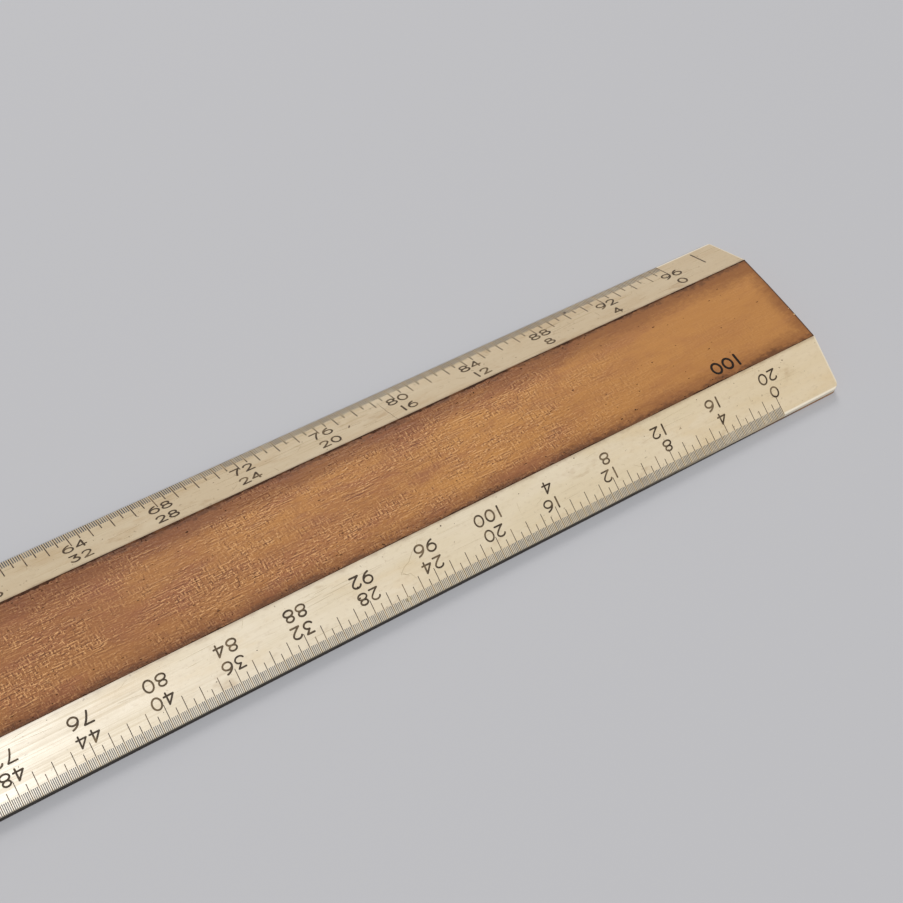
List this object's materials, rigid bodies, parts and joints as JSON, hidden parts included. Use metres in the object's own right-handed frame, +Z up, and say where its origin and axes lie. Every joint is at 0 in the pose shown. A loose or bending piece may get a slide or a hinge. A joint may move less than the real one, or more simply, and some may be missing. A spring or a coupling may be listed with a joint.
{
  "type": "flat scale ruler",
  "caption": "Flat boxwood scale rule with two bevelled edges faced in ivory celluloid, graduated along both edges from opposite ends.",
  "frame": {"origin": "centre of the flat underside", "axes": "+X along the rule towards the end where the near scale starts at zero, +Y across it towards the far edge, +Z up from the table"},
  "size_m": [0.327, 0.0328, 0.0054],
  "materials": {
    "boxwood": "worn satin varnish over straight-grained golden-brown boxwood",
    "celluloid": "aged ivory celluloid, satin with fine scratches",
    "wax": "dark brown-black wax rubbed into the cuts, matt"
  },
  "bodies": {
    "root": {"boxwood_body": "boxwood", "near_strip": "celluloid", "far_strip": "celluloid", "near_unit_lines": "wax", "near_half_lines": "wax", "far_unit_lines": "wax", "far_half_lines": "wax", "far_end_mark": "wax"}
  },
  "joints": []
}
